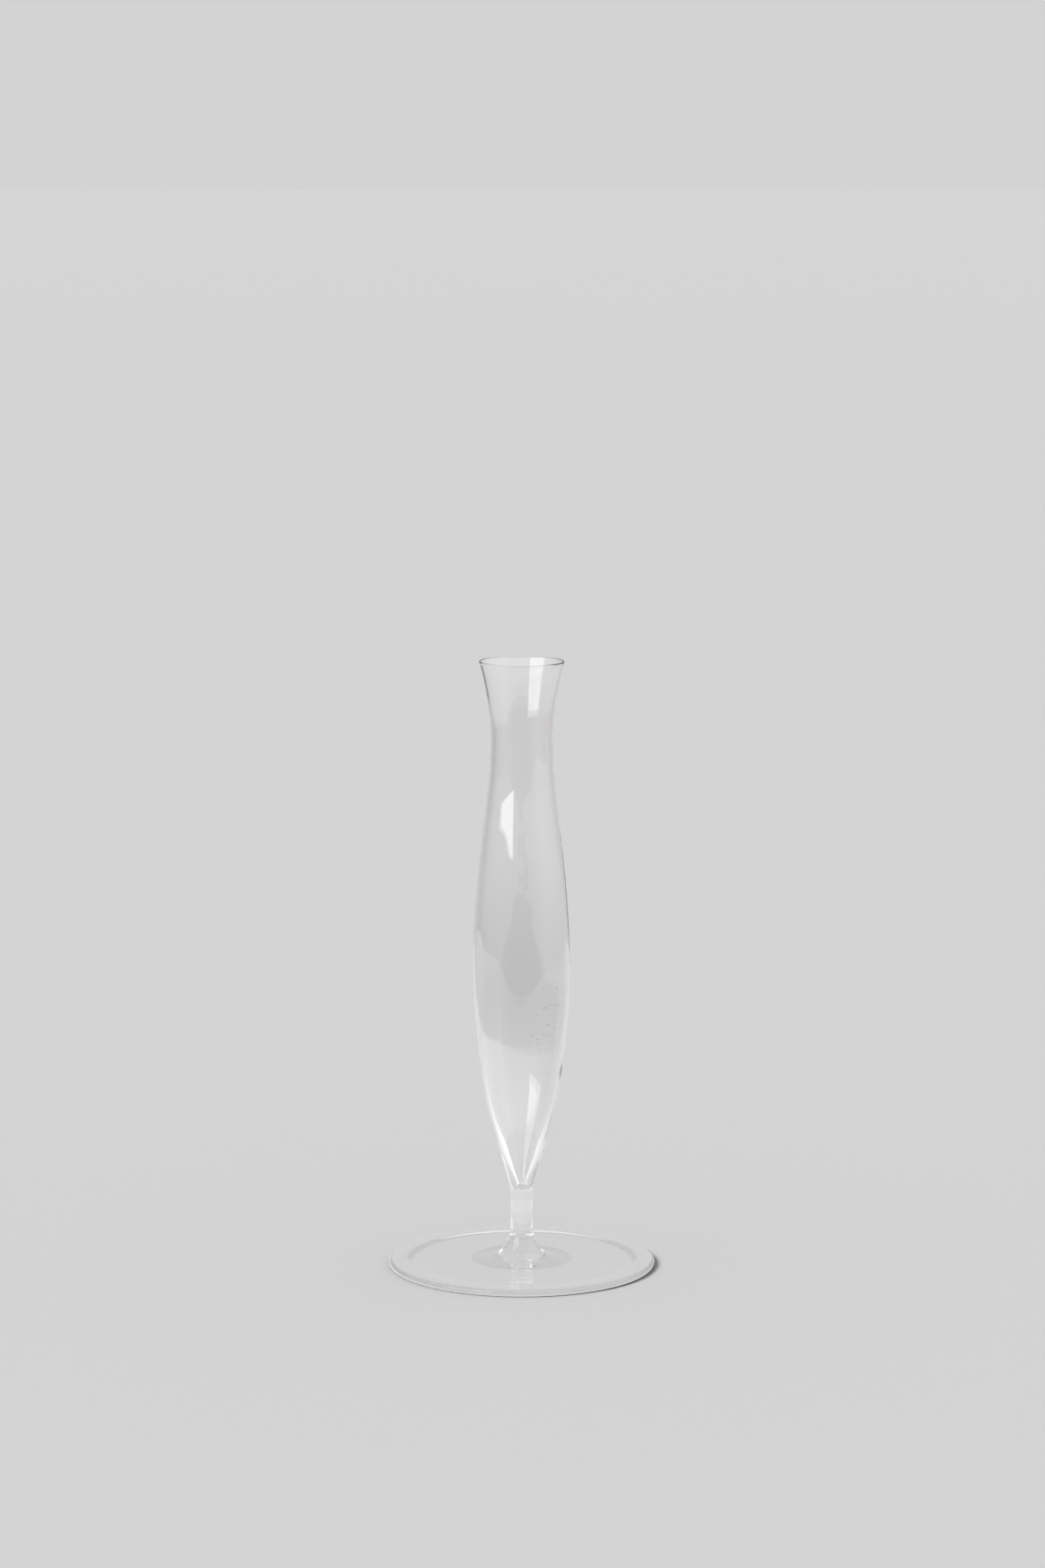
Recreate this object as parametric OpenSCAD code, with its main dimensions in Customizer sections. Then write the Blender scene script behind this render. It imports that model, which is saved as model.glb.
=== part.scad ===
// Footed bud vase in clear glass. A long, slender bowl with a flared mouth is drawn down to a solid
// point. It is welded to a short solid stem, which stands on a small collar and a wide spun foot.
// Millimetres, +Z up. The origin is the centre of the plane that the foot rests on.

/* [Overall] */
// Height from the resting plane to the lip
height = 210; // [205:1:216]
// Height of the weld between the bowl and the stem
bowl_z = 27.3; // [26.5:0.1:28]
// Height of the weld between the stem and the collar
stem_z = 11.1; // [10:0.1:12]
// Height of the weld between the collar and the foot
collar_z = 5.3; // [5:0.1:6]

/* [Bowl] */
// Outside diameter of the mouth
mouth_d = 29.2; // [27:0.1:32]
// Outside diameter of the neck at its narrowest
neck_d = 21.1; // [19:0.1:24]
// Height of the narrowest point of the neck
neck_z = 183; // [178:1:188]
// Outside diameter of the shoulder below the neck
shoulder_d = 25; // [24:0.1:26]
// Height of the shoulder
shoulder_z = 157.4; // [152:0.1:162]
// Outside diameter of the belly at its widest
belly_d = 33.2; // [31:0.1:36]
// Height of the widest point of the belly
belly_z = 105; // [98:1:110]
// Outside diameter of the hip, where the belly starts to close faster
hip_d = 27.6; // [26.5:0.1:29]
// Height of the hip
hip_z = 67.4; // [64:0.1:71]
// Outside diameter where the belly turns into the straight taper
taper_d = 17.8; // [17:0.1:19]
// Height where the straight taper begins
taper_z = 44.8; // [43:0.1:47]

/* [Wall] */
// Thickness of the fire-polished lip
lip_t = 0.6; // [0.5:0.1:0.9]
// Wall thickness from the neck to the belly
wall_t = 0.95; // [0.8:0.05:1.2]
// Wall thickness at the hip
hip_t = 1.1; // [0.9:0.05:1.3]
// Wall thickness where the straight taper begins
taper_t = 2.2; // [1.9:0.1:2.5]
// Radius of the rounded tip of the hollow
tip_r = 0.85; // [0.6:0.05:1.1]
// Thickness of solid glass between the hollow and the stem
heel_t = 0.7; // [0.5:0.1:1]

/* [Stem and collar] */
// Diameter of the stem at its two ends
stem_d = 7.8; // [7.4:0.1:8.2]
// Diameter of the stem at its slight waist
stem_waist_d = 7.4; // [7:0.1:7.8]
// Radius of the rounded lower edge of the stem
stem_edge_r = 0.35; // [0.2:0.05:0.5]
// Diameter of the collar under the stem
collar_top_d = 8; // [7.8:0.1:8.6]
// Diameter of the collar on the foot
collar_d = 13.4; // [12.5:0.1:14.5]

/* [Foot] */
// Diameter of the foot
foot_d = 92; // [86:1:98]
// Thickness of the foot at its edge
foot_t = 2.25; // [2:0.05:2.6]
// How quickly the foot's centre runs out into the flat plate
spread = 2.3; // [1.8:0.1:2.6]
// Number of tooled rings round the centre of the foot
ring_count = 8; // [6:1:10]
// Diameter where the tooled rings end
ring_d = 34.6; // [30:0.2:38]
// Height of one tooled ring
ring_h = 0.18; // [0.1:0.02:0.24]
// Width of the flat land that the foot rests on
land_w = 4.8; // [3:0.2:7]
// Depth of the shallow hollow under the foot
hollow_h = 0.5; // [0.3:0.1:0.8]
// Width of the slope between the land and the hollow
hollow_w = 2.4; // [1.5:0.1:4]

/* [Hidden] */
$fn = 96;
GLASS = [0.86, 0.89, 0.89, 0.5];
STEPS = 9;              // straight pieces in each span of a curve
ARC_STEPS = 8;          // straight pieces in a rounded edge
RING_STEPS = 6;         // straight pieces in one tooled ring

// Slopes of the bowl's sides, in radius per height
mouth_slope = 0.3;
shoulder_slope = -0.125;
hip_slope = 0.125;
hip_inside_slope = 0.16;
taper_slope = 0.27;
taper_inside_slope = 0.4;
heel_slope = 0.29;
tip_slope = 0.28;

lip_z = height - lip_t / 2;
heel_z = bowl_z + heel_t;
tip_z = heel_z + tip_r;
tip_angle = -atan(tip_slope);

// A station is [height, radius, slope]
outside = [
    [bowl_z, stem_d / 2, heel_slope],
    [taper_z, taper_d / 2, taper_slope],
    [hip_z, hip_d / 2, hip_slope],
    [belly_z, belly_d / 2, 0],
    [shoulder_z, shoulder_d / 2, shoulder_slope],
    [neck_z, neck_d / 2, 0],
    [lip_z, mouth_d / 2, mouth_slope],
];
inside = [
    [tip_z + tip_r * sin(tip_angle), tip_r * cos(tip_angle), tip_slope],
    [taper_z, taper_d / 2 - taper_t, taper_inside_slope],
    [hip_z, hip_d / 2 - hip_t, hip_inside_slope],
    [belly_z, belly_d / 2 - wall_t, 0],
    [shoulder_z, shoulder_d / 2 - wall_t, shoulder_slope],
    [neck_z, neck_d / 2 - wall_t, 0],
    [lip_z, mouth_d / 2 - lip_t, mouth_slope],
];
stem_side = [
    [stem_z + stem_edge_r, stem_d / 2, 0],
    [(bowl_z + stem_z) / 2, stem_waist_d / 2, 0],
    [bowl_z, stem_d / 2, 0],
];
collar_side = [
    [collar_z, collar_d / 2, -0.75],
    [stem_z, collar_top_d / 2, -0.12],
];

// Point of the smooth cubic between two stations, as [radius, height]
function between(a, b, t) =
    let (h = b[0] - a[0], s = 1 - t)
    [
        a[1] * s * s * (1 + 2 * t) + b[1] * t * t * (3 - 2 * t) + h * t * s * (a[2] * s - b[2] * t),
        a[0] + h * t,
    ];

// Smooth curve through every station, from the first to the last
function curve(stations) = [
    for (i = [0 : len(stations) - 2], k = [i == 0 ? 0 : 1 : STEPS])
        between(stations[i], stations[i + 1], k / STEPS),
];

// Points of an arc about [x, y], strictly between its two angles. Its ends belong to its neighbours.
function arc(x, y, r, from, to) = [
    for (k = [1 : ARC_STEPS - 1])
        let (a = from + (to - from) * k / ARC_STEPS)
        [x + r * cos(a), y + r * sin(a)],
];

function backwards(points) = [for (i = [len(points) - 1 : -1 : 0]) points[i]];

// Height of the foot's top at radius r, without the tooled rings
function foot_top(r) =
    foot_t + (collar_z - foot_t) * exp((collar_d / 2 - r) / spread);

// Radius of the tooled rings at a phase from 0 to ring_count. They lie closer together further out.
function ring_r(phase) = collar_d / 2 + (ring_d - collar_d) / 2 * pow(phase / ring_count, 0.8);

// Top of the foot through the tooled rings, outwards from the collar
function rings() = [
    for (k = [0 : ring_count * RING_STEPS])
        let (phase = k / RING_STEPS, r = ring_r(phase))
        [r, foot_top(r) + ring_h * (1 - cos(360 * phase)) / 2],
];

module bowl() {
    color(GLASS)
        rotate_extrude()
            polygon(concat(
                [[0, bowl_z]],
                curve(outside),
                arc(mouth_d / 2 - lip_t / 2, lip_z, lip_t / 2, 0, 180),
                backwards(curve(inside)),
                arc(0, tip_z, tip_r, tip_angle, -90),
                [[0, heel_z]]
            ));
}

module stem() {
    color(GLASS)
        rotate_extrude()
            polygon(concat(
                [[0, stem_z], [stem_d / 2 - stem_edge_r, stem_z]],
                arc(stem_d / 2 - stem_edge_r, stem_z + stem_edge_r, stem_edge_r, -90, 0),
                curve(stem_side),
                [[0, bowl_z]]
            ));
}

module collar() {
    color(GLASS)
        rotate_extrude()
            polygon(concat([[0, collar_z]], curve(collar_side), [[0, stem_z]]));
}

module foot() {
    edge_r = foot_t / 2;
    plate_r = foot_d / 2 - edge_r;
    land_r = plate_r - land_w;
    color(GLASS)
        rotate_extrude()
            polygon(concat(
                [[0, hollow_h], [land_r - hollow_w, hollow_h], [land_r, 0], [plate_r, 0]],
                arc(plate_r, edge_r, edge_r, -90, 90),
                [[plate_r, foot_t]],
                backwards(rings()),
                [[0, collar_z]]
            ));
}

bowl();
stem();
collar();
foot();
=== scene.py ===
"""Looks of a footed glass bud vase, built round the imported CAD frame. Metres, +Z up."""

import math
import random

import bmesh
import bpy
from mathutils import Matrix, Vector


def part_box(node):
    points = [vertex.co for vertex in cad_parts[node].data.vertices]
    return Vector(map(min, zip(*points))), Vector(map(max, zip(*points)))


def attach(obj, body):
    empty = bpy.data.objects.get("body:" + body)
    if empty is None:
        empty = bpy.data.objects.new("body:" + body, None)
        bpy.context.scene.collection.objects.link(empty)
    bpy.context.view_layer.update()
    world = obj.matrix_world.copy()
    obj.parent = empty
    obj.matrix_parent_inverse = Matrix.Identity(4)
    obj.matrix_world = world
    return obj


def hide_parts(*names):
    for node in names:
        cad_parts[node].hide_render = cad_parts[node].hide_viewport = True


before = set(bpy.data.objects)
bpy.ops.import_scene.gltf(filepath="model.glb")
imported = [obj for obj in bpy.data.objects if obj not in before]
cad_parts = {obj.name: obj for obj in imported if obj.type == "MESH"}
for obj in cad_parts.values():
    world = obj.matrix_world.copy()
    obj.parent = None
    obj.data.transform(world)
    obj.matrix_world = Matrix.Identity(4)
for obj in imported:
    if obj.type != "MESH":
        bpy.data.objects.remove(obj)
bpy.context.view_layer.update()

MM = 0.001

# ---- Sizes from the frame ----
bowl_low, bowl_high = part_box("bowl")
stem_low, stem_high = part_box("stem")
collar_low, collar_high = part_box("collar")
foot_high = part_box("foot")[1]

BOWL_Z = bowl_low.z
STEM_Z = stem_low.z
COLLAR_Z = collar_low.z
TOP_Z = bowl_high.z
STEM_R = stem_high.x
COLLAR_R = collar_high.x
FOOT_R = foot_high.x

# ---- The glass's own dimensions, as in the CAD ----
LIP_T = 0.6 * MM
WALL_T = 0.95 * MM
TIP_R = 0.85 * MM
TIP_SLOPE = 0.28
TIP_Z = BOWL_Z + 0.7 * MM + TIP_R
TIP_ANGLE = -math.atan(TIP_SLOPE)
MOUTH_R = 14.6 * MM
LIP_Z = TOP_Z - LIP_T / 2
STEM_WAIST_R = 3.7 * MM
STEM_EDGE_R = 0.35 * MM
COLLAR_TOP_R = 4.0 * MM
FOOT_T = 2.25 * MM
SPREAD = 2.3 * MM
RING_COUNT = 8
RING_END_R = 17.3 * MM
RING_H = 0.18 * MM
LAND_W = 4.8 * MM
HOLLOW_W = 2.4 * MM
HOLLOW_H = 0.5 * MM

# Stations are (height, radius, slope of the radius)
OUTSIDE = [
    (BOWL_Z, STEM_R, 0.29),
    (44.8 * MM, 8.9 * MM, 0.27),
    (67.4 * MM, 13.8 * MM, 0.125),
    (105.0 * MM, 16.6 * MM, 0.0),
    (157.4 * MM, 12.5 * MM, -0.125),
    (183.0 * MM, 10.55 * MM, 0.0),
    (LIP_Z, MOUTH_R, 0.3),
]
INSIDE = [
    (TIP_Z + TIP_R * math.sin(TIP_ANGLE), TIP_R * math.cos(TIP_ANGLE), TIP_SLOPE),
    (44.8 * MM, 6.7 * MM, 0.4),
    (67.4 * MM, 12.7 * MM, 0.16),
    (105.0 * MM, 16.6 * MM - WALL_T, 0.0),
    (157.4 * MM, 12.5 * MM - WALL_T, -0.125),
    (183.0 * MM, 10.55 * MM - WALL_T, 0.0),
    (LIP_Z, MOUTH_R - LIP_T, 0.3),
]
STEM_SIDE = [
    (STEM_Z + STEM_EDGE_R, STEM_R, 0.0),
    ((BOWL_Z + STEM_Z) / 2, STEM_WAIST_R, 0.0),
    (BOWL_Z, STEM_R, 0.0),
]
COLLAR_SIDE = [(COLLAR_Z, COLLAR_R, -0.75), (STEM_Z, COLLAR_TOP_R, -0.12)]


# ---- Outlines, as lists of (radius, height) ----
def between(a, b, t):
    """Point of the smooth cubic between two stations."""
    h, s = b[0] - a[0], 1 - t
    r = a[1] * s * s * (1 + 2 * t) + b[1] * t * t * (3 - 2 * t) + h * t * s * (a[2] * s - b[2] * t)
    return r, a[0] + h * t


def curve(stations, step):
    """Smooth curve through every station, with a point about every step."""
    points = [(stations[0][1], stations[0][0])]
    for a, b in zip(stations, stations[1:]):
        n = max(2, round((b[0] - a[0]) / step))
        points += [between(a, b, k / n) for k in range(1, n + 1)]
    return points


def radius_at(stations, z):
    """Radius of a smooth curve at a height within it."""
    for a, b in zip(stations, stations[1:]):
        if z <= b[0]:
            return between(a, b, (z - a[0]) / (b[0] - a[0]))[0]


def arc(r, z, radius, start, end, n):
    """Points of an arc strictly between two angles in degrees."""
    angles = [math.radians(start + (end - start) * k / n) for k in range(1, n)]
    return [(r + radius * math.cos(a), z + radius * math.sin(a)) for a in angles]


def foot_top(r):
    """Height of the foot's top without its tooled rings."""
    return FOOT_T + (COLLAR_Z - FOOT_T) * math.exp((COLLAR_R - r) / SPREAD)


def tooled_rings(steps):
    """Top of the foot through its tooled rings, outwards from the collar."""
    points = []
    for k in range(RING_COUNT * steps + 1):
        phase = k / steps
        r = COLLAR_R + (RING_END_R - COLLAR_R) * (phase / RING_COUNT) ** 0.8
        points.append((r, foot_top(r) + RING_H * (1 - math.cos(math.tau * phase)) / 2))
    return points


def ramp(a, b, n):
    """Points along a straight stretch, without its first."""
    return [(a[0] + (b[0] - a[0]) * k / n, a[1] + (b[1] - a[1]) * k / n) for k in range(1, n + 1)]


def smooth_step(value, low, high):
    t = min(1, max(0, (value - low) / (high - low)))
    return t * t * (3 - 2 * t)


# ---- Hand-made unevenness: how far a point of a turned surface is off, as (radius, height) ----
def blown(inner_from):
    """A bowl that isn't quite round, with a wall that isn't quite even."""
    def off(i, r, z, a):
        free = smooth_step(z, BOWL_Z, BOWL_Z + 25 * MM)
        round_off = 0.05 * math.cos(2 * a + 0.9 + 9 * z) + 0.03 * math.cos(3 * a - 0.4 - 25 * z)
        round_off += 0.025 * math.cos(a + 180 * z) + 0.012 * math.cos(2 * a - 420 * z)
        wall_off = 0.0
        if i >= inner_from:
            wall_off = 0.035 * math.cos(a - 2.2 + 20 * z) + 0.02 * math.cos(5 * a + 60 * z)
            wall_off += 0.008 * math.cos(13 * a - 35 * z)
        lip = 0.1 * smooth_step(z, TOP_Z - 12 * MM, TOP_Z) * (math.cos(2 * a - 0.7) - 1) / 2
        return (round_off + wall_off) * free * MM, lip * MM
    return off


def drawn(i, r, z, a):
    """A stem that was pulled by hand, true at its two welds."""
    free = math.sin(math.pi * (z - STEM_Z) / (BOWL_Z - STEM_Z)) ** 2
    return 0.03 * free * math.cos(2 * a + 0.5 + 150 * z) * MM, 0


def pressed(i, r, z, a):
    """A collar squeezed a little out of round, true at its two welds."""
    free = math.sin(math.pi * (z - COLLAR_Z) / (STEM_Z - COLLAR_Z)) ** 2
    return 0.05 * free * math.cos(2 * a + 1.4) * MM, 0


def spun(i, r, z, a):
    """A foot opened out by hand: its edge is a little out of round and its face a little wavy."""
    out = smooth_step(r, RING_END_R - 6 * MM, FOOT_R)
    edge = 0.09 * out * (math.cos(2 * a + 2.0) + 0.5 * math.cos(3 * a) - 1.5)
    face = 0.0
    if z > FOOT_T / 2:
        tooled = smooth_step(r, COLLAR_R, COLLAR_R + 4 * MM)
        face = 0.02 * tooled * math.cos(a + 0.8 + 700 * r) + 0.03 * out * math.cos(2 * a - 0.6)
        face -= 0.03 * out
    return edge * MM, face * MM


# ---- Meshes ----
def lathe(name, outline, segments, off, cap_from=()):
    """A closed mesh turned from an outline that runs from the axis back to the axis.
    off(index, radius, height, angle) gives the unevenness as (radius, height).
    The strips that start at the outline indices in cap_from take the second material."""
    verts, rows = [], []
    for i, (r, z) in enumerate(outline):
        if r < 1e-9:
            rows.append([len(verts)])
            verts.append((0, 0, z))
            continue
        rows.append(range(len(verts), len(verts) + segments))
        for k in range(segments):
            a = math.tau * k / segments
            dr, dz = off(i, r, z, a)
            verts.append(((r + dr) * math.cos(a), (r + dr) * math.sin(a), z + dz))
    faces, slots = [], []
    for i, (low, high) in enumerate(zip(rows, rows[1:])):
        for k in range(segments):
            j = (k + 1) % segments
            if len(low) == 1:
                faces.append((low[0], high[j], high[k]))
            elif len(high) == 1:
                faces.append((low[k], low[j], high[0]))
            else:
                faces.append((low[k], low[j], high[j], high[k]))
            slots.append(1 if i in cap_from else 0)
    mesh = bpy.data.meshes.new(name)
    mesh.from_pydata(verts, [], faces)
    mesh.polygons.foreach_set("material_index", slots)
    mesh.polygons.foreach_set("use_smooth", [s == 0 for s in slots])
    mesh.update()
    piece = bpy.data.objects.new(name, mesh)
    bpy.context.scene.collection.objects.link(piece)
    return piece


def add_seeds(piece, seeds):
    """Tiny closed voids inside the glass, given as (angle, height, radius)."""
    bm = bmesh.new()
    bm.from_mesh(piece.data)
    for a, z, size in seeds:
        middle = (radius_at(OUTSIDE, z) + radius_at(INSIDE, z)) / 2
        place = Matrix.Translation((middle * math.cos(a), middle * math.sin(a), z))
        made = bmesh.ops.create_icosphere(bm, subdivisions=2, radius=size, matrix=place)
        faces = {face for vert in made["verts"] for face in vert.link_faces}
        bmesh.ops.reverse_faces(bm, faces=list(faces))
        for face in faces:
            face.smooth = True
    bm.to_mesh(piece.data)
    bm.free()


# ---- Node trees ----
class Nodes:
    """Short ways to add nodes to one tree."""

    def __init__(self, tree):
        self.tree = tree

    def add(self, kind, **inputs):
        node = self.tree.nodes.new(kind)
        for name, value in inputs.items():
            self.put(node.inputs[name.replace("_", " ")], value)
        return node

    def put(self, socket, value):
        if isinstance(value, bpy.types.NodeSocket):
            self.tree.links.new(value, socket)
        else:
            socket.default_value = value

    def math(self, operation, *values):
        node = self.tree.nodes.new("ShaderNodeMath")
        node.operation = operation
        for socket, value in zip(node.inputs, values):
            self.put(socket, value)
        return node.outputs[0]

    def mix(self, factor, a, b):
        """a where the factor is 0, b where it is 1."""
        return self.math("ADD", self.math("MULTIPLY", a, self.math("SUBTRACT", 1.0, factor)),
                         self.math("MULTIPLY", b, factor))

    def blend(self, factor, a, b):
        """Colour a where the factor is 0, b where it is 1."""
        node = self.tree.nodes.new("ShaderNodeMix")
        node.data_type = "RGBA"
        self.put(node.inputs["Factor"], factor)
        self.put(node.inputs["A"], a)
        self.put(node.inputs["B"], b)
        return node.outputs["Result"]

    def distance(self, vector):
        """How far a place is from the origin."""
        node = self.tree.nodes.new("ShaderNodeVectorMath")
        node.operation = "LENGTH"
        self.put(node.inputs[0], vector)
        return node.outputs["Value"]

    def step(self, value, low, high):
        """0 below low, 1 above high, smooth between."""
        node = self.tree.nodes.new("ShaderNodeMapRange")
        node.interpolation_type = "SMOOTHSTEP"
        self.put(node.inputs["Value"], value)
        node.inputs["From Min"].default_value = low
        node.inputs["From Max"].default_value = high
        return node.outputs["Result"]

    def noise(self, vector, scale, detail=2.0):
        return self.add("ShaderNodeTexNoise", Vector=vector, Scale=scale, Detail=detail).outputs["Fac"]

    def stretched(self, vector, scale):
        """Coordinates multiplied along each axis."""
        node = self.add("ShaderNodeMapping", Vector=vector)
        node.inputs["Scale"].default_value = scale
        return node.outputs[0]


def new_material(name, keep_bsdf):
    mat = bpy.data.materials.new(name)
    mat.use_nodes = True
    if not keep_bsdf:
        mat.node_tree.nodes.remove(mat.node_tree.nodes["Principled BSDF"])
    return mat, Nodes(mat.node_tree)


def surface(n, shader):
    n.put(n.tree.nodes["Material Output"].inputs["Surface"], shader)


# ---- Glass ----
CLEAR = (0.972, 0.972, 0.972, 1)
EDGE_TINT = (0.93, 0.945, 0.965, 1)     # where one looks along the plate of the foot
EDGE_BAND = (1.4 * MM, 0.5 * MM)        # the tint starts and is full this far inside the edge


def glass(name, relief, tint=None):
    """Clear glass with faint smears and its own relief. relief(nodes, place) gives heights as bumps."""
    mat, n = new_material(name, True)
    bsdf = n.tree.nodes["Principled BSDF"]
    n.put(bsdf.inputs["Transmission Weight"], 1.0)
    n.put(bsdf.inputs["IOR"], 1.5)
    place = n.add("ShaderNodeTexCoord").outputs["Object"]
    n.put(bsdf.inputs["Base Color"], tint(n, place) if tint else CLEAR)
    smears = n.step(n.noise(n.stretched(place, (1, 1, 0.4)), 140.0, 4.0), 0.52, 0.75)
    n.put(bsdf.inputs["Roughness"], n.math("MULTIPLY", smears, 0.012))
    normal = None
    for height, depth in relief(n, place):
        bump = n.add("ShaderNodeBump", Height=height, Distance=depth, Strength=1.0)
        if normal:
            n.put(bump.inputs["Normal"], normal)
        normal = bump.outputs[0]
    n.put(bsdf.inputs["Normal"], normal)
    return mat


def blown_relief(n, place):
    """Slow waves from the blowing, and cords drawn out along the bowl."""
    waves = n.noise(place, 70.0, 1.0)
    cords = n.noise(n.stretched(place, (1, 1, 0.06)), 420.0, 2.0)
    return [(waves, 0.015 * MM), (cords, 0.005 * MM)]


def drawn_relief(n, place):
    """Long cords from the pulling of the stem."""
    return [(n.noise(n.stretched(place, (1, 1, 0.05)), 600.0, 2.0), 0.01 * MM)]


def spun_relief(n, place):
    """Fine rings from the spinning of the foot, over slow waves."""
    level = n.stretched(place, (1, 1, 0))
    rings = n.add("ShaderNodeCombineXYZ", X=n.distance(level)).outputs[0]
    return [(n.noise(level, 45.0, 1.0), 0.03 * MM), (n.noise(rings, 700.0, 2.0), 0.006 * MM)]


def edge_tint(n, place):
    """Clear glass that turns a little blue-grey towards the edge of the plate."""
    band = n.step(n.distance(place), FOOT_R - EDGE_BAND[0], FOOT_R - EDGE_BAND[1])
    return n.blend(band, CLEAR, EDGE_TINT)


def weld_material():
    """Where two pieces of hot glass flowed together there is no surface to see."""
    mat, n = new_material("weld", False)
    surface(n, n.add("ShaderNodeBsdfTransparent").outputs[0])
    return mat


# ---- Pieces ----
STEP = 0.8 * MM                 # between points of an outline
WIDE_SEGMENTS, ROD_SEGMENTS = 224, 128
SEEDS, STRAYS = 70, 8
weld = weld_material()


def finish_piece(piece, node, material, shadow=False):
    """The stand and the bowl are too clear to shade the floor. Only the wide foot does."""
    piece.data.materials.append(material)
    piece.data.materials.append(weld)
    piece.visible_shadow = shadow
    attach(piece, "root")
    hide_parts(node)


def seed_cluster():
    """A drift of seeds low in the right of the belly, spreading downwards, and a few strays."""
    dice = random.Random(11)
    seeds = []
    for k in range(SEEDS):
        low = dice.random() ** 0.6
        az = 38 - 4 * low + dice.uniform(-1, 1) * (7 + 27 * low)
        z = 103 - 26 * low
        if k >= SEEDS - STRAYS:
            az, z = dice.uniform(-180, 180), dice.uniform(75, 175)
        seeds.append((math.radians(az - 90), z * MM, dice.uniform(0.08, 0.22) * MM))
    return seeds


def make_bowl():
    outside = curve(OUTSIDE, STEP)
    inside = curve(INSIDE, STEP)
    lip = arc(MOUTH_R - LIP_T / 2, LIP_Z, LIP_T / 2, 0, 180, 12)
    tip = arc(0, TIP_Z, TIP_R, math.degrees(TIP_ANGLE), -90, 8)
    outline = [(0, BOWL_Z)] + outside + lip + inside[::-1] + tip + [(0, TIP_Z - TIP_R)]
    inner_from = 1 + len(outside) + len(lip)
    piece = lathe("blown_bowl", outline, WIDE_SEGMENTS, blown(inner_from), cap_from=(0,))
    add_seeds(piece, seed_cluster())
    finish_piece(piece, "bowl", glass("blown_glass", blown_relief))


def make_stem():
    edge = arc(STEM_R - STEM_EDGE_R, STEM_Z + STEM_EDGE_R, STEM_EDGE_R, -90, 0, 8)
    start = (STEM_R - STEM_EDGE_R, STEM_Z)
    outline = [(0, STEM_Z), start] + edge + curve(STEM_SIDE, STEP / 2) + [(0, BOWL_Z)]
    piece = lathe("solid_stem", outline, ROD_SEGMENTS, drawn, cap_from=(0, len(outline) - 2))
    finish_piece(piece, "stem", glass("drawn_glass", drawn_relief))


def make_collar():
    outline = [(0, COLLAR_Z)] + curve(COLLAR_SIDE, STEP / 4) + [(0, STEM_Z)]
    piece = lathe("merese_collar", outline, ROD_SEGMENTS, pressed, cap_from=(0, len(outline) - 2))
    finish_piece(piece, "collar", glass("pressed_glass", drawn_relief))


def make_foot():
    edge_r = FOOT_T / 2
    plate_r = FOOT_R - edge_r
    land_r = plate_r - LAND_W
    under = [(0, HOLLOW_H), (4 * MM, HOLLOW_H)]
    under += ramp(under[-1], (land_r - HOLLOW_W, HOLLOW_H), 20)
    under += ramp(under[-1], (land_r, 0), 6) + ramp((land_r, 0), (plate_r, 0), 6)
    rim = arc(plate_r, edge_r, edge_r, -90, 90, 24)
    rings = tooled_rings(10)
    plate = ramp((plate_r, FOOT_T), rings[-1], 24)
    outline = under + rim + [(plate_r, FOOT_T)] + plate + rings[-2::-1] + [(0, COLLAR_Z)]
    piece = lathe("spun_foot", outline, WIDE_SEGMENTS, spun, cap_from=(len(outline) - 2,))
    finish_piece(piece, "foot", glass("spun_glass", spun_relief, edge_tint), shadow=True)


make_bowl()
make_stem()
make_collar()
make_foot()

# ---- Studio ----
# The camera sees a plain pale floor and background. The glass mirrors a darker room with a bright sheet
# on a table and a softbox at the left, and it lets the pale surroundings through. A GLOW is a level that
# the glass mirrors and a SEEN is one that it lets through.
BACKGROUND = 0.6514          # what the camera sees
FILL = 0.3305                # what lights the floor from all round
FLOOR_Z = -0.05 * MM         # glass stands on a floor with a thin film of air between
LAYER = 0.01 * MM            # between surfaces that would otherwise share a plane
FLOOR_SIZE, TABLE_TOP_SIZE = 40.0, 6.0      # half the sides of two squares
SHEET = (-0.011, 0.060, 0.246)              # the bright sheet's round end: its middle, and its radius
TABLE = (-0.08, 0.12, 0.68, 0.495)          # the table: its middle, and half its width and depth
# The sheet's front left is brighter than its back: a painted sheen from the softbox
SHEET_FRONT_SHEEN_GLOW, SHEET_BACK_GLOW = 1.53, 0.78
SHEET_SHEEN_FADE = (-0.15, 0.15)                  # where the front left's painted sheen turns into the back's level, from the front left backwards
# The level under the foot is lower: a painted shade of the foot on the sheet
TABLE_GLOW, TABLE_RIGHT_GLOW, UNDER_FOOT_PAINTED_SHADE = 0.61, 0.74, 0.58
RIGHT_GLOW, BEHIND_GLOW, CEILING_GLOW, MANY_GLOW = 0.5, 0.60, 1.5, 0.58
NEAR_SEEN, MIDDLE_SEEN, FAR_SEEN = 0.69, 0.63, 0.735
DARK_PATCH_GLOW = 0.1
DARK_PATCH = (-0.14, 0.07, -0.348, -0.330)        # a dark patch, as its sides from left to back
DARK_PATCH_TAIL = (-0.050, -0.020, -0.375, DARK_PATCH[2])
SOFTBOX_GLOW = 3.5
SOFTBOX_AZ = (-26.5, -72.0)                 # its upright edges, in degrees from the front
SOFTBOX_Z = (0.208, 1.3)                    # its level edges
SOFTBOX_DISTANCE = 1.25
SUN_AZ, SUN_RISE = -65.0, 0.84              # the way to the sun, and its height over a distance of 1
SUN_STRENGTH, SUN_SPREAD = 2.36, 25.0
PALE, MAUVE = (1, 1, 1, 1), (1.008, 0.988, 0.998, 1)


def link_new(name, corners, faces, material):
    mesh = bpy.data.meshes.new(name)
    mesh.from_pydata(corners, [], faces)
    mesh.materials.append(material)
    ob = bpy.data.objects.new(name, mesh)
    bpy.context.scene.collection.objects.link(ob)
    return ob


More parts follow.
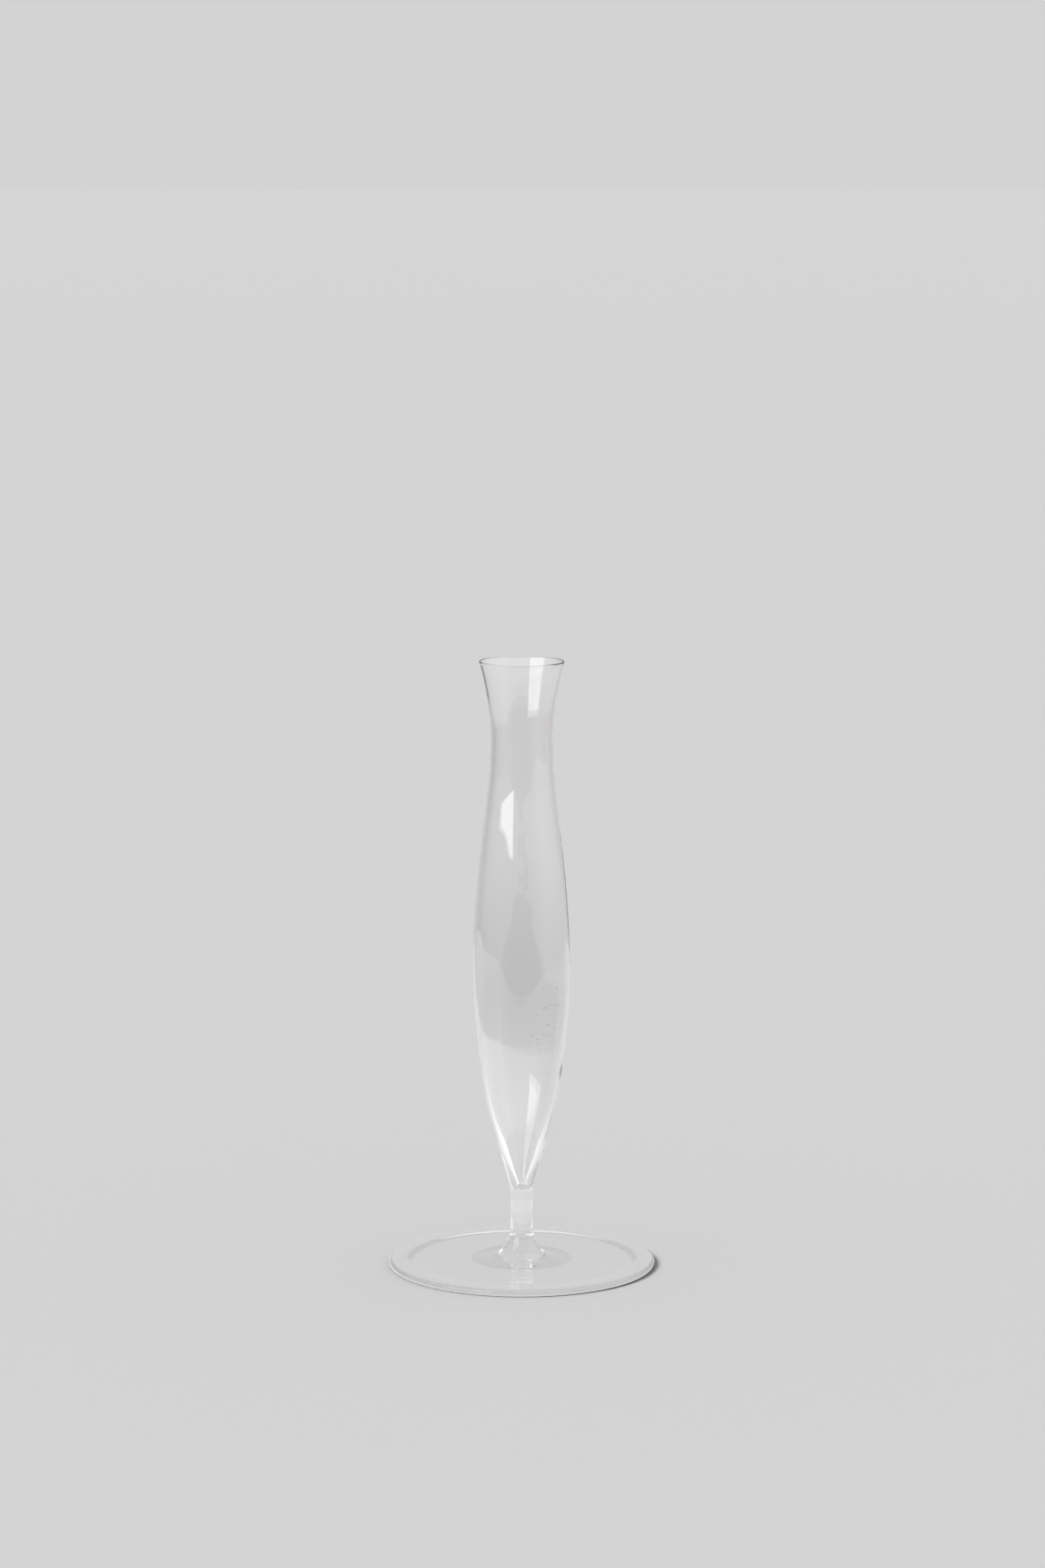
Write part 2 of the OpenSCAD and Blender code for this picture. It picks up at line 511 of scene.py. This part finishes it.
def for_reflections(ob):
    """The camera, the floor's light and shadows don't meet this object. Glass mirrors it and bends it."""
    ob.visible_camera = False
    ob.visible_diffuse = False
    ob.visible_shadow = False


def polar(az, distance, z):
    """A point at an azimuth from the front, in degrees, positive to the right."""
    a = math.radians(az)
    return (distance * math.sin(a), -distance * math.cos(a), z)


def flat(left, right, front, back, z):
    return [(left, front, z), (right, front, z), (right, back, z), (left, back, z)]


def floor_material():
    mat, n = new_material("pale_floor", True)
    bsdf = n.tree.nodes["Principled BSDF"]
    n.put(bsdf.inputs["Base Color"], (0.8, 0.8, 0.8, 1))
    n.put(bsdf.inputs["Roughness"], 1.0)
    n.put(bsdf.inputs["Specular IOR Level"], 0.0)
    return mat


def for_glass(n, seen, glow):
    """The light that a ray meets after some glass: seen if it only passed through, glow if the glass
    mirrored it once or twice, a middling level if more often. A ray from the floor meets none, so the
    foot darkens the floor close to it."""
    path = n.add("ShaderNodeLightPath").outputs
    level = n.mix(n.math("GREATER_THAN", path["Glossy Depth"], 0.5), seen, glow)
    level = n.mix(n.math("GREATER_THAN", path["Glossy Depth"], 2.5), level, MANY_GLOW)
    return n.math("MULTIPLY", level, n.math("LESS_THAN", path["Diffuse Depth"], 0.5))


def room(n, x, y, above):
    """What the glass mirrors round the table: dark in front and at the left, lighter behind."""
    az = n.math("DEGREES", n.math("ARCTAN2", x, n.math("MULTIPLY", y, -1.0)))
    side = n.math("MULTIPLY", n.step(az, 20.0, 70.0), RIGHT_GLOW)
    behind = n.step(n.math("ABSOLUTE", az), 116.0, 150.0)
    return n.mix(behind, n.math("ADD", side, above), BEHIND_GLOW)


def length(n, x, y):
    return n.math("SQRT", n.math("ADD", n.math("POWER", x, 2.0), n.math("POWER", y, 2.0)))


def table_glow(n, x, y):
    """A round-ended sheet that runs off backwards, on a table with round corners, in the room. The sheet's
    front left is brighter, a painted sheen, and under the foot of the vase the sheet is darker, a painted
    shade of the foot."""
    past_end = n.math("MINIMUM", n.math("SUBTRACT", y, SHEET[1]), 0.0)
    from_sheet = length(n, n.math("SUBTRACT", x, SHEET[0]), past_end)
    across = n.math("DIVIDE", n.math("SUBTRACT", x, TABLE[0]), TABLE[2])
    along = n.math("DIVIDE", n.math("SUBTRACT", y, TABLE[1]), TABLE[3])
    off_corner = n.math("ADD", n.math("POWER", across, 4.0), n.math("POWER", along, 4.0))
    back_right = n.math("ADD", y, n.math("MULTIPLY", x, 0.5))
    # Painted sheen: the front left of the sheet is brighter than its back
    sheet = n.mix(n.step(back_right, SHEET_SHEEN_FADE[0], SHEET_SHEEN_FADE[1]), SHEET_FRONT_SHEEN_GLOW, SHEET_BACK_GLOW)
    table = n.mix(n.step(x, 0.15, 0.30), TABLE_GLOW, TABLE_RIGHT_GLOW)
    table = n.mix(n.step(from_sheet, SHEET[2] - MM, SHEET[2] + MM), sheet, table)
    # Painted shade: the sheet is darker under the foot
    table = n.mix(n.step(length(n, x, y), FOOT_R - 4 * MM, FOOT_R), UNDER_FOOT_PAINTED_SHADE, table)
    return n.mix(n.step(off_corner, 0.99, 1.01), table, room(n, x, y, 0.0))


def table_material():
    mat, n = new_material("table_seen_in_glass", False)
    place = n.add("ShaderNodeSeparateXYZ", Vector=n.add("ShaderNodeNewGeometry").outputs["Position"])
    x, y = place.outputs["X"], place.outputs["Y"]
    away = length(n, x, y)
    far = n.step(away, 0.24, 0.50)
    seen = n.mix(n.step(away, 0.5, 1.0), n.mix(far, NEAR_SEEN, MIDDLE_SEEN), FAR_SEEN)
    # Painted light: the table and its sheet glow by themselves, with no lamp lighting them
    level = for_glass(n, seen, table_glow(n, x, y))
    light = n.add("ShaderNodeEmission", Color=n.blend(far, PALE, MAUVE), Strength=level)
    surface(n, light.outputs[0])
    return mat


def square(size, z):
    return flat(-size, size, -size, size, z)


def make_floor():
    floor = link_new("floor", square(FLOOR_SIZE, FLOOR_Z), [(0, 1, 2, 3)], floor_material())
    floor.visible_glossy = False
    floor.visible_transmission = False
    top = square(TABLE_TOP_SIZE, FLOOR_Z + LAYER)
    for_reflections(link_new("table", top, [(0, 1, 2, 3)], table_material()))


def make_dark_patch():
    """A dark patch at the front of the table, which only the glass meets. Little of it shows: a faint mark
    in the bowl's edge, seen from behind."""
    mat, n = new_material("dark_patch", False)
    surface(n, n.add("ShaderNodeEmission", Strength=for_glass(n, FAR_SEEN, DARK_PATCH_GLOW)).outputs[0])
    z = FLOOR_Z + 2 * LAYER
    corners = flat(*DARK_PATCH, z) + flat(*DARK_PATCH_TAIL, z)
    for_reflections(link_new("dark_patch", corners, [(0, 1, 2, 3), (4, 5, 6, 7)], mat))


def make_world():
    world = bpy.data.worlds.new("studio")
    bpy.context.scene.world = world
    world.use_nodes = True
    world.node_tree.nodes.clear()
    n = Nodes(world.node_tree)
    way = n.add("ShaderNodeSeparateXYZ", Vector=n.add("ShaderNodeTexCoord").outputs["Generated"])
    el = n.math("DEGREES", n.math("ARCSINE", way.outputs["Z"]))
    above = n.math("MULTIPLY", n.step(el, -2.0, 38.0), CEILING_GLOW)
    around = room(n, way.outputs["X"], way.outputs["Y"], above)
    seen = n.mix(n.step(el, 4.0, 9.0), FAR_SEEN, around)
    glassy = for_glass(n, seen, around)
    path = n.add("ShaderNodeLightPath")
    level = n.mix(path.outputs["Is Camera Ray"], glassy, BACKGROUND)
    level = n.mix(path.outputs["Is Diffuse Ray"], level, FILL)
    plain = n.math("MAXIMUM", path.outputs["Is Camera Ray"], path.outputs["Is Diffuse Ray"])
    shade = n.add("ShaderNodeBackground", Color=n.blend(plain, MAUVE, PALE), Strength=level)
    n.put(n.add("ShaderNodeOutputWorld").inputs["Surface"], shade.outputs[0])


def make_sun():
    lamp = bpy.data.lights.new("window_light", "SUN")
    lamp.energy = SUN_STRENGTH
    lamp.angle = math.radians(SUN_SPREAD)
    ob = bpy.data.objects.new("window_light", lamp)
    bpy.context.scene.collection.objects.link(ob)
    towards = Vector(polar(SUN_AZ, 1.0, SUN_RISE)).normalized()
    ob.rotation_euler = towards.to_track_quat("Z", "Y").to_euler()
    ob.visible_glossy = False
    ob.visible_transmission = False


def make_softbox():
    low, high = SOFTBOX_Z
    corners = [polar(az, SOFTBOX_DISTANCE, low) for az in SOFTBOX_AZ]
    corners += [polar(az, SOFTBOX_DISTANCE, high) for az in reversed(SOFTBOX_AZ)]
    mat, n = new_material("softbox_face", False)
    surface(n, n.add("ShaderNodeEmission", Strength=for_glass(n, FAR_SEEN, SOFTBOX_GLOW)).outputs[0])
    for_reflections(link_new("softbox", corners, [(0, 1, 2, 3)], mat))


def make_camera():
    distance, height, pitch, focal = 1.489, 0.3823, 8.2, 101.31
    lens = bpy.data.cameras.new("camera")
    lens.sensor_width = 36
    lens.lens = focal
    lens.clip_start = 0.05
    lens.clip_end = 100
    ob = bpy.data.objects.new("camera", lens)
    bpy.context.scene.collection.objects.link(ob)
    ob.location = (0.0003, -distance, height)
    ob.rotation_euler = (math.radians(90 - pitch), 0, 0)
    bpy.context.scene.camera = ob


make_floor()
make_dark_patch()
make_world()
make_sun()
make_softbox()
make_camera()

scene = bpy.context.scene
scene.view_settings.view_transform = "Standard"
# Light runs to and fro in the foot's thin plate, and would end there as a black rim
BOUNCES = 64
scene.cycles.max_bounces = BOUNCES
scene.cycles.transmission_bounces = BOUNCES
scene.cycles.glossy_bounces = BOUNCES
scene.cycles.transparent_max_bounces = 16
scene.cycles.use_denoising = True
